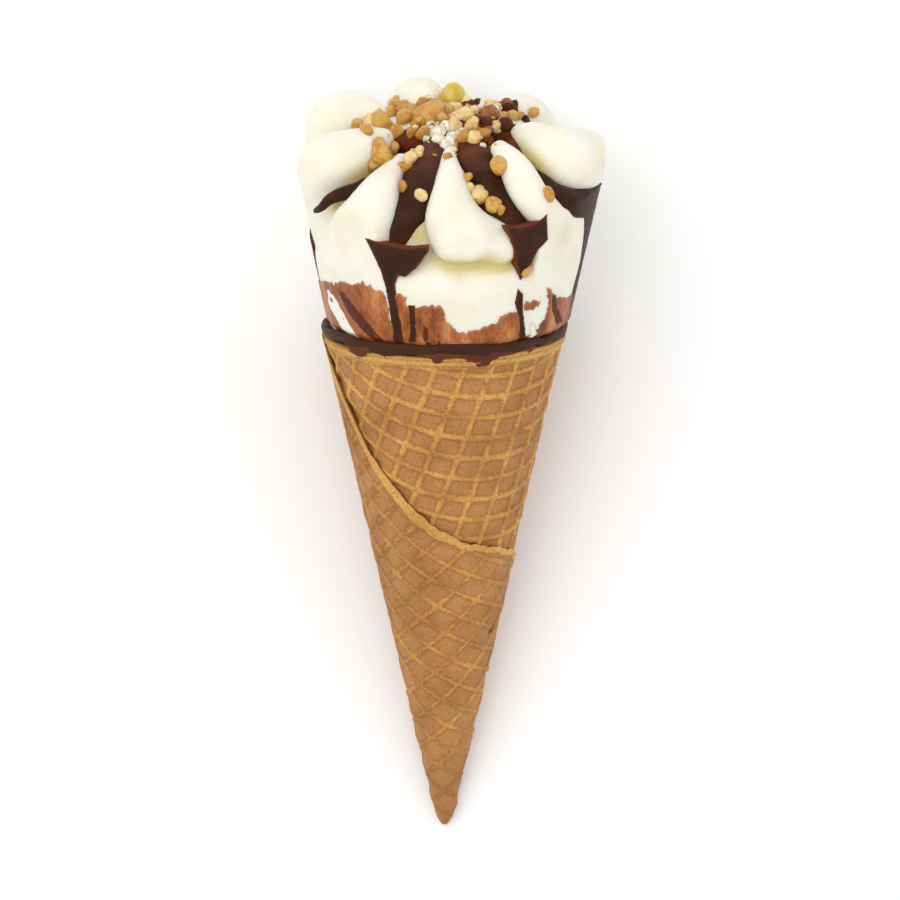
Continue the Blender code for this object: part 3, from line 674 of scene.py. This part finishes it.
FLAG_LEFT = ((365, 238), (385, 244), (405, 248), (428, 247), (428, 252), (415, 269), (405, 277),
             (397, 275), (395, 285), (397, 300), (401, 318), (405, 345), (393, 345), (392, 330),
             (389, 305), (385, 285), (382, 274), (374, 256))
STEM_LEFT = ((408, 305), (415, 306), (417, 322), (417, 343), (408, 343), (409, 325))
FLAG_RIGHT = ((506, 227), (520, 227), (532, 225), (540, 221), (547, 214), (548, 240), (538, 250),
              (530, 266), (521, 280), (517, 266), (514, 250), (511, 238))
STEM_RIGHT = ((518, 289), (523, 294), (523, 310), (526, 340), (518, 342), (519, 320), (515, 302))
STRIP_RIGHT = ((601, 183), (596, 190), (590, 205), (584, 216), (584, 232), (580, 262), (571, 296),
               (566, 325), (573, 325), (582, 290), (594, 235), (606, 185))
SMEAR_LEFT = ((318, 279), (327, 281), (333, 284), (342, 282), (351, 284), (363, 282), (375, 289),
              (384, 292), (389, 310), (394, 346), (370, 343), (345, 338), (330, 330), (318, 316))
SMEAR_FRONT = ((388, 280), (393, 289), (399, 294), (407, 297), (406, 306), (413, 310), (421, 307),
               (431, 305), (441, 307), (444, 317), (450, 325), (456, 331), (466, 333), (478, 330),
               (487, 326), (496, 324), (501, 316), (510, 313), (520, 312), (521, 342), (500, 352),
               (470, 356), (430, 354), (393, 350))
SMEAR_RIGHT = ((546, 286), (551, 290), (556, 297), (566, 298), (574, 292), (571, 325), (540, 337),
               (527, 337), (537, 329), (545, 318), (549, 303))
PATCH_RIGHT = ((524, 303), (532, 300), (541, 301), (538, 307), (530, 311), (525, 309))
STREAKS = (((337, 288), (345, 292), (352, 302), (366, 318), (388, 345), (375, 344), (352, 319),
            (343, 303)),
           ((551, 292), (556, 296), (558, 308), (563, 322), (556, 326), (551, 312)),
           ((423, 320), (429, 330), (432, 350), (425, 350), (422, 335)),
           ((437, 325), (441, 338), (443, 351), (437, 351)))
RIM_DRIPS = (((404, 354), (425, 356), (432, 359), (437, 366), (442, 364), (447, 359), (458, 358),
              (470, 362), (480, 368), (489, 366), (494, 361), (500, 358), (518, 354), (512, 349),
              (480, 353), (440, 353)),
             ((352, 344), (355, 351), (360, 355), (364, 359), (369, 358), (374, 352), (376, 347)),
             ((382, 350), (384, 355), (389, 358), (396, 355), (400, 352)),
             ((526, 347), (529, 354), (532, 352), (538, 345)))
PALE_DROP = ((531, 322), (535, 325), (537, 335), (534, 341), (531, 338), (530, 330))
BARE_STRIPE = ((327, 287), (334, 294), (345, 314), (359, 339), (349, 340), (338, 322), (329, 305))
EDGE_THIN, EDGE_WIDTH = 0.8, 0.22


def photo_rays(pixels):
    """The directions from the camera through photo pixels, in the upright frame."""
    pixels = numpy.array(pixels, dtype=float)
    right, up = (pixels - PHOTO_PIXELS / 2).T * PHOTO_WIDTH / PHOTO_PIXELS
    rays = right[:, None] * numpy.array((1, 0, 0)) - up[:, None] * PHOTO_UP - TO_CAMERA * PHOTO_DISTANCE
    return rays / numpy.linalg.norm(rays, axis=1)[:, None]


def on_sleeve(pixels):
    """The angle and height where photo pixels meet the pressed sides; past the edge, its outline."""
    places = []
    for ray in photo_rays(pixels):
        for squeeze, side in ((LEFT_PRESS, -1), (1.0, 1)):
            start = CAMERA_PLACE - (SLEEVE_OFFSET, 0, 0)
            start, way = start / (squeeze, 1, 1), ray / (squeeze, 1, 1)
            wide = SLEEVE_RADIUS + start[2] * SLOPE
            a = way[0] ** 2 + way[1] ** 2 - (way[2] * SLOPE) ** 2
            b = start[0] * way[0] + start[1] * way[1] - wide * way[2] * SLOPE
            c = start[0] ** 2 + start[1] ** 2 - wide ** 2
            distance = (-b - math.sqrt(max(b * b - a * c, 0))) / a
            hit = start + way * distance
            if hit[0] * side > 0:
                break
        places.append((math.atan2(hit[0], -hit[1]), hit[2]))
    return numpy.array(places)


def outline_points(corners, spacing):
    """Points along a closed outline."""
    line = []
    for start, end in zip(corners, numpy.roll(corners, -1, axis=0)):
        count = max(1, int(numpy.linalg.norm(end - start) / spacing))
        line.extend(start + (end - start) * step / count for step in range(count))
    return numpy.array(line)


def edge_distance(points, line):
    """The distance from each point to a closed outline, negative outside it."""
    nearest = numpy.full(len(points), 99.0)
    inside = numpy.zeros(len(points), dtype=bool)
    for start, end in zip(line, numpy.roll(line, -1, axis=0)):
        way = end - start
        share = numpy.clip(((points - start) @ way) / max(way @ way, 1e-9), 0, 1)
        nearest = numpy.minimum(nearest, numpy.linalg.norm(points - start - share[:, None] * way, axis=1))
        crosses = (start[1] > points[:, 1]) != (end[1] > points[:, 1])
        slant = start[0] + (points[:, 1] - start[1]) * way[0] / (way[1] if abs(way[1]) > 1e-9 else 1e-9)
        inside ^= crosses & (points[:, 0] < slant)
    return numpy.where(inside, nearest, -nearest)


def film(outlines, level, sink, ragged=0.0, spacing=0.4, rounding=0.5, seed=1, on_wafer=False):
    """Thin plates that lie on the sleeve or the wafer at a level, with edges that turn down into it."""
    points, faces, thin = [], [], []
    for number, pixels in enumerate(outlines):
        places = on_sleeve(pixels)
        middle = places[:, 1].mean()
        wide = SLEEVE_RADIUS + middle * SLOPE
        flat = places * (wide, 1 / math.cos(HALF_ANGLE))
        line = outline_points(flat, spacing)
        if ragged:
            shake = wobble(line[:, 0], line[:, 1], number * 7.0, 1.6, seed)
            shake += 0.6 * wobble(line[:, 0], line[:, 1], number * 7.0, 0.8, seed + 1)
            inwards = numpy.roll(line, -1, axis=0) - numpy.roll(line, 1, axis=0)
            inwards = inwards[:, ::-1] * (-1, 1) / numpy.linalg.norm(inwards, axis=1)[:, None]
            line = line + inwards * (shake * ragged)[:, None]
        low, high = line.min(axis=0), line.max(axis=0)
        across, along = numpy.meshgrid(numpy.arange(low[0], high[0], spacing),
                                       numpy.arange(low[1], high[1], spacing))
        filling = numpy.stack([across.ravel(), along.ravel()], axis=-1)
        filling = filling[edge_distance(filling, line) > spacing * 0.6]
        flat_points = numpy.vstack([line, filling])
        loop = [(step, (step + 1) % len(line)) for step in range(len(line))]
        made = delaunay_2d_cdt([Vector(point) for point in flat_points], loop, [], 1, 1e-5)
        flat_points = numpy.array([tuple(point) for point in made[0]])
        away = numpy.maximum(edge_distance(flat_points, line), 0)
        turn, z = flat_points[:, 0] / wide, flat_points[:, 1] * math.cos(HALF_ANGLE)
        rise = level * numpy.sqrt(1 - (1 - numpy.clip(away / rounding, 0, 1)) ** 2)
        if not on_wafer:
            # low down, the film dips behind the lining's lip
            rise -= 0.7 * (1 - ease(2.6, 3.6, z))
        rise += (0.05 * wobble(flat_points[:, 0], flat_points[:, 1], number, 2.5, seed + 2)
                 * numpy.clip(away, 0, 1))
        for depth in (0.0, sink):
            radius = SLEEVE_RADIUS + z * SLOPE + rise - depth
            x = radius * numpy.sin(turn)
            if not on_wafer:
                x = SLEEVE_OFFSET + x * numpy.where(x < 0, LEFT_PRESS, 1.0)
            layer = numpy.stack([x, -radius * numpy.cos(turn), z], axis=-1)
            first = sum(len(part) for part in points)
            points.append(layer)
            thin.append(EDGE_THIN * (numpy.exp(-away / EDGE_WIDTH) if depth == 0 else 1 + 0 * z))
            if depth == 0:
                faces.extend(tuple(first + corner for corner in face) for face in made[2])
        size = len(flat_points)
        edges = {}
        for face in made[2]:
            for start, end in zip(face, list(face[1:]) + [face[0]]):
                edges[(start, end)] = edges.get((start, end), 0) + 1
        for start, end in edges:
            if (end, start) not in edges:
                faces.append((first - size + end, first - size + start, first + start, first + end))
    return numpy.concatenate(points), faces, numpy.concatenate(thin)


def film_piece(name, material, outlines, level, sink, thin_all=0.0, thin_edge=1.0, **how):
    """A piece made of films, with how thin it looks all over and at its edges."""
    points, faces, thin = film(outlines, level, sink, **how)
    return mesh_piece(name, points, faces, material, {"thin": thin_all + thin_edge * thin})


flags = film_piece("sauce_flags", sauce_chocolate, (FLAG_LEFT, FLAG_RIGHT, STEM_LEFT, STEM_RIGHT),
                   level=0.2, sink=2.5, ragged=0.06, spacing=0.3, rounding=0.3, seed=4)
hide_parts("ice_cream")

sides = film_piece("sauce_sides", sauce_chocolate, (STRIP_RIGHT,), level=0.12, sink=2.0,
                   ragged=0.1, seed=9)
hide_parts("ice_cream")


def smear_material():
    """A thin film of sauce mixed with melted cream, wiped down the sides in faint streaks."""
    material, tree, shader = material_with_shader("milk-brown film")
    place = surface_place(tree)
    wiped = node(tree, "VectorMath", {0: place, 1: (1.0, 0.28, 1.0)}, operation="MULTIPLY")
    texture = grain(tree, wiped.outputs["Vector"], broad=3.2, fine=0.5, relief=0.12)
    tone = ramp(tree, texture["Broad"], ((0.3, colour(104, 52, 25)), (0.42, colour(146, 80, 37)),
                                         (0.56, colour(174, 102, 50)), (0.7, colour(200, 138, 84))))
    speckle = ramp(tree, texture["Fine"], ((0.32, colour(214, 200, 190)), (0.5, colour(255, 255, 255))))
    tone = mixed(tree, 1.0, tone, speckle, "MULTIPLY")
    tone = mixed(tree, mask(tree, "thin"), tone, colour(196, 134, 82))
    set_finish(tree, shader, tone, texture["Normal"], roughness=0.4, gloss=0.25)
    return material


smear = film_piece("milk_brown_film", smear_material(), (SMEAR_LEFT, SMEAR_FRONT, SMEAR_RIGHT, PATCH_RIGHT),
                   level=0.12, sink=0.6, thin_edge=0.6, ragged=0.28, seed=14)

streaks = film_piece("sauce_streaks", sauce_chocolate, STREAKS, level=0.2, sink=0.5,
                     thin_all=0.4, thin_edge=0.6, ragged=0.12, seed=19)

thin_chocolate = chocolate_material("thin sauce", colour(92, 44, 26), colour(128, 70, 40),
                                    roughness=0.45, relief=0.1)
drips = film_piece("rim_drips", thin_chocolate, RIM_DRIPS, level=0.3, sink=0.5,
                   ragged=0.1, spacing=0.3, seed=29, on_wafer=True)

stripe = film_piece("cream_stripe", cream.data.materials[0], (BARE_STRIPE, PALE_DROP),
                    level=0.2, sink=0.5, ragged=0.12, seed=23)

# The toppings: chopped caramelised nuts, bits of dark chocolate, finer crumbs of nut and white
# chocolate, and one drop of yellow syrup. The larger ones are laid where the camera sees them, on the
# cream or the sauce. Each has its photo place and width in pixels, and nuts have a tint.
AMBER, PALE, BROWN, WHITE = 0.0, 0.35, 0.65, 1.0
NUT_PIECES = (
    (358, 125, 12, AMBER), (366, 131, 9, AMBER), (384, 127, 19, AMBER), (396, 134, 11, AMBER),
    (404, 119, 14, AMBER), (430, 117, 20, AMBER), (417, 124, 13, AMBER), (397, 104, 14, AMBER),
    (408, 108, 12, AMBER), (390, 114, 9, AMBER), (422, 106, 10, AMBER), (379, 155, 21, AMBER),
    (391, 147, 13, AMBER), (372, 163, 12, AMBER), (404, 168, 11, AMBER), (404, 188, 9, AMBER),
    (413, 160, 12, PALE), (420, 154, 9, PALE), (421, 196, 10, PALE), (441, 133, 9, WHITE),
    (431, 131, 9, WHITE), (451, 138, 9, WHITE), (444, 145, 10, WHITE), (436, 134, 11, WHITE),
    (449, 144, 9, WHITE), (455, 140, 9, WHITE), (455, 126, 13, PALE), (462, 117, 17, PALE),
    (472, 127, 15, PALE), (481, 135, 13, AMBER), (466, 139, 14, AMBER), (455, 150, 8, AMBER),
    (448, 157, 7, AMBER), (424, 133, 12, AMBER), (411, 133, 10, AMBER), (440, 121, 13, AMBER),
    (447, 112, 12, AMBER), (457, 108, 11, PALE), (436, 108, 12, AMBER), (415, 113, 12, AMBER),
    (475, 140, 11, PALE), (438, 140, 10, WHITE), (427, 138, 9, WHITE), (447, 128, 12, WHITE),
    (458, 133, 10, WHITE), (487, 129, 10, BROWN), (473, 115, 12, PALE), (498, 110, 11, AMBER),
    (512, 118, 9, AMBER), (486, 106, 10, PALE), (489, 117, 17, BROWN), (497, 127, 11, PALE),
    (480, 106, 12, WHITE), (493, 103, 10, WHITE), (503, 118, 10, AMBER), (468, 110, 9, AMBER),
    (507, 104, 9, BROWN), (490, 141, 10, BROWN), (501, 166, 13, AMBER), (466, 179, 9, AMBER),
    (469, 189, 9, PALE), (481, 195, 15, PALE), (494, 205, 11, AMBER), (501, 211, 8, AMBER),
    (533, 113, 10, AMBER), (548, 195, 10, AMBER), (524, 271, 11, AMBER), (459, 98, 8, AMBER))
CHOCOLATE_BITS = ((472, 101, 13), (482, 96, 12), (507, 112, 14), (499, 105, 9), (478, 121, 12), (495, 98, 8),
                  (524, 121, 11), (505, 126, 14), (488, 124, 11), (466, 104, 9), (514, 105, 9))
# nuts behind the front ones, as (x, y, size)
HIDDEN_NUTS = ((-9, 9, 3.6), (-2, 8, 3.2), (4.5, 8.5, 3.4), (9.5, 7.5, 3.2), (-14, 4.5, 3.4), (14.5, 7, 2.6))
NUT_SINK, NUT_SWELL = 0.12, 1.15
CHIP_WIDTH = 1.55
ABOVE = 60
MIDDLE_DEPTH = 7.0
CRUMB_COUNT, CRUMB_SIZES, CRUMB_SINK = 150, (0.35, 1.1), 0.2
CRUMB_REGION, CRUMB_SPREAD = ((-12, 13), (-10, 9)), 0.45
STEEPEST_REST = 0.35
SYRUP_PLACE, SYRUP_SIZE = (1.8, 12.2, 45.5), (2.8, 2.7, 3.9)


def ball(rings=12, columns=16):
    """The points and faces of a round ball of radius 1."""
    points = [(0, 0, 1)]
    for ring in range(1, rings):
        down = math.pi * ring / rings
        for column in range(columns):
            turn = math.tau * column / columns
            points.append((math.sin(down) * math.cos(turn), math.sin(down) * math.sin(turn),
                           math.cos(down)))
    points.append((0, 0, -1))
    faces = [(0, 1 + c, 1 + (c + 1) % columns) for c in range(columns)]
    for ring in range(rings - 2):
        first, second = 1 + ring * columns, 1 + (ring + 1) * columns
        for c in range(columns):
            d = (c + 1) % columns
            faces.append((first + c, second + c, second + d, first + d))
    last = len(points) - 1
    faces += [(last, last - columns + (c + 1) % columns, last - columns + c) for c in range(columns)]
    return numpy.array(points), faces


BALL_POINTS, BALL_FACES = ball()


def chip(size, draw, cuts=8, sharp=14):
    """One chip: a ball cut flat by planes on all sides, with its edges a little worn."""
    ways = draw.normal(size=(cuts, 3))
    ways /= numpy.linalg.norm(ways, axis=1)[:, None]
    depths = draw.uniform(0.55, 0.95, cuts)
    pull = numpy.maximum(BALL_POINTS @ ways.T, 0) / depths
    radius = (1 + (pull ** sharp).sum(axis=1)) ** (-1 / sharp)
    turned = numpy.linalg.qr(draw.normal(size=(3, 3)))[0]
    turned *= numpy.linalg.det(turned)
    shape = BALL_POINTS * radius[:, None] * draw.uniform(0.7, 1.25, 3) @ turned
    bumps = 0.05 * wobble(*(shape.T * 3), 2.2, int(draw.integers(1000)))
    shape += bumps[:, None] * BALL_POINTS
    return shape * size / CHIP_WIDTH


def gather(shapes, tints):
    """The chips' points and faces as one mesh, with each chip's tint on its points."""
    points = numpy.concatenate(shapes)
    size = len(BALL_POINTS)
    faces = [tuple(corner + size * number for corner in face)
             for number in range(len(shapes)) for face in BALL_FACES]
    return points, faces, numpy.repeat(tints, size)


sauce_above = [tuple(corner + len(cream_points) for corner in face) for face in sauce_faces]
carrier = BVHTree.FromPolygons([tuple(point) for point in numpy.vstack([cream_points, sauce_points])],
                               cream_faces + sauce_above)


def landing(start, way):
    """Where a ray meets the cream or its sauce, or the nearest place to it over the middle."""
    hit = carrier.ray_cast(Vector(start), Vector(way))
    if not hit[0]:
        over_middle = numpy.array(start) + numpy.array(way) * (MIDDLE_DEPTH - start[1]) / (way[1] or 1)
        hit = carrier.find_nearest(Vector(over_middle))
    return numpy.array(hit[0]), numpy.array(hit[1])


draw = numpy.random.default_rng(12)
shapes, tints = [], []
for x, y, width, tint in NUT_PIECES:
    place, normal = landing(CAMERA_PLACE, photo_rays([(x, y)])[0])
    size = width * PHOTO_WIDTH / PHOTO_PIXELS * NUT_SWELL
    shapes.append(chip(size, draw) + place + normal * size * NUT_SINK)
    tints.append(tint + draw.uniform(0, 0.2))
for x, y, size in HIDDEN_NUTS:
    place, normal = landing((x, y, ABOVE), (0, 0, -1))
    shapes.append(chip(size, draw) + place + normal * size * NUT_SINK)
    tints.append(draw.choice((AMBER, PALE)))
nut_points, nut_faces, nut_tints = gather(shapes, tints)


def nut_material():
    material, tree, shader = material_with_shader("caramelised nut")
    texture = grain(tree, surface_place(tree), broad=1.6, fine=0.35, relief=0.2)
    tint = ramp(tree, mask(tree, "tint"), ((0.0, colour(196, 142, 56)), (0.16, colour(212, 168, 80)),
                                           (0.35, colour(240, 214, 156)), (0.56, colour(238, 208, 146)),
                                           (0.66, colour(166, 104, 56)), (0.85, colour(146, 88, 50)),
                                           (1.0, colour(250, 244, 228))))
    dark = mixed(tree, 1.0, tint, colour(232, 204, 156), "MULTIPLY")
    share = node(tree, "MapRange", {0: texture["Broad"], 1: 0.46, 2: 0.66})
    tone = mixed(tree, share.outputs[0], tint, dark)
    set_finish(tree, shader, tone, texture["Normal"], roughness=0.24, soft=0.5, depth=(1.4, 1.1, 0.45))
    return material


nut_brown = nut_material()
nuts = mesh_piece("nut_pieces", nut_points, nut_faces, nut_brown, {"tint": nut_tints})
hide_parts("ice_cream")

shapes = []
for x, y, width in CHOCOLATE_BITS:
    place, normal = landing(CAMERA_PLACE, photo_rays([(x, y)])[0])
    size = width * PHOTO_WIDTH / PHOTO_PIXELS
    shapes.append(chip(size, draw, cuts=7, sharp=16) + place + normal * size * NUT_SINK)
bit_points, bit_faces, bit_thin = gather(shapes, [0.3] * len(shapes))
bits = mesh_piece("chocolate_bits", bit_points, bit_faces, sauce_chocolate, {"thin": bit_thin})

shapes, tints = [], []
for crumb in range(CRUMB_COUNT):
    x, y = (draw.normal() * CRUMB_SPREAD * (high - low) / 2 + (high + low) / 2
            for low, high in CRUMB_REGION)
    place, normal = landing((x, y, ABOVE), (0, 0, -1))
    if normal[2] > STEEPEST_REST:
        size = draw.uniform(*CRUMB_SIZES)
        shapes.append(chip(size, draw, cuts=7) + place + normal * size * CRUMB_SINK)
        tints.append(draw.choice((AMBER, AMBER, PALE, PALE, WHITE, WHITE)))
crumb_points, crumb_faces, crumb_tints = gather(shapes, tints)
crumbs = mesh_piece("crumbs", crumb_points, crumb_faces, nut_brown, {"tint": crumb_tints})


def syrup_material():
    material, tree, shader = material_with_shader("syrup")
    texture = grain(tree, surface_place(tree), broad=2.4, fine=0.5, relief=0.04)
    tone = ramp(tree, texture["Broad"], ((0.3, colour(196, 168, 58)), (0.5, colour(208, 184, 76)),
                                         (0.7, colour(222, 202, 104))))
    set_finish(tree, shader, tone, texture["Normal"], roughness=0.12, soft=0.5, depth=(2.0, 1.6, 0.5))
    return material


smooth_ball, smooth_faces = ball(24, 32)
syrup = mesh_piece("syrup_drop", smooth_ball * SYRUP_SIZE + SYRUP_PLACE, smooth_faces, syrup_material())
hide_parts("ice_cream")

# The studio: a plain white floor, an even white sky, two soft boxes, and a camera that looks down on
# the cone from where the photo was taken.
SKY_STRENGTH = 0.79
SENSOR_WIDTH = 36

floor_mesh = bpy.data.meshes.new("floor")
reach = 2.0
floor_mesh.from_pydata([(-reach, -reach, 0), (reach, -reach, 0), (reach, reach, 0), (-reach, reach, 0)],
                       [], [(0, 1, 2, 3)])
floor_material, floor_tree, floor_shader = material_with_shader("studio floor")
floor_shader.inputs["Base Color"].default_value = (0.97, 0.97, 0.97, 1)
floor_shader.inputs["Roughness"].default_value = 0.8
floor_mesh.materials.append(floor_material)
floor = bpy.data.objects.new("floor", floor_mesh)
bpy.context.scene.collection.objects.link(floor)

world = bpy.data.worlds.new("studio")
world.use_nodes = True
sky = world.node_tree.nodes["Background"]
sky.inputs["Color"].default_value = (1, 1, 1, 1)
sky.inputs["Strength"].default_value = SKY_STRENGTH
bpy.context.scene.world = world


def soft_light(name, place, size, power):
    """A square soft box that faces the middle of the cone."""
    lamp = bpy.data.lights.new(name, "AREA")
    lamp.size = size
    lamp.energy = power
    holder = bpy.data.objects.new(name, lamp)
    holder.location = place
    holder.rotation_euler = Vector(place).to_track_quat("Z", "Y").to_euler()
    bpy.context.scene.collection.objects.link(holder)


soft_light("key light", (-0.3, 0.26, 0.8), size=0.7, power=2.9)
soft_light("fill light", (0.5, -0.15, 0.6), size=0.6, power=0.6)

camera_data = bpy.data.cameras.new("camera")
camera_data.sensor_width = SENSOR_WIDTH
camera_data.lens = SENSOR_WIDTH * PHOTO_DISTANCE / PHOTO_WIDTH
camera = bpy.data.objects.new("camera", camera_data)
camera.location = LAID_DOWN @ Vector(CAMERA_PLACE)
turn_upright = Matrix.Rotation(math.pi / 2 - PHOTO_RISE, 3, "X")
camera.rotation_euler = (Matrix.Rotation(HALF_ANGLE - math.pi / 2, 3, "X") @ turn_upright).to_euler()
bpy.context.scene.collection.objects.link(camera)
bpy.context.scene.camera = camera
bpy.context.scene.view_settings.view_transform = "Standard"
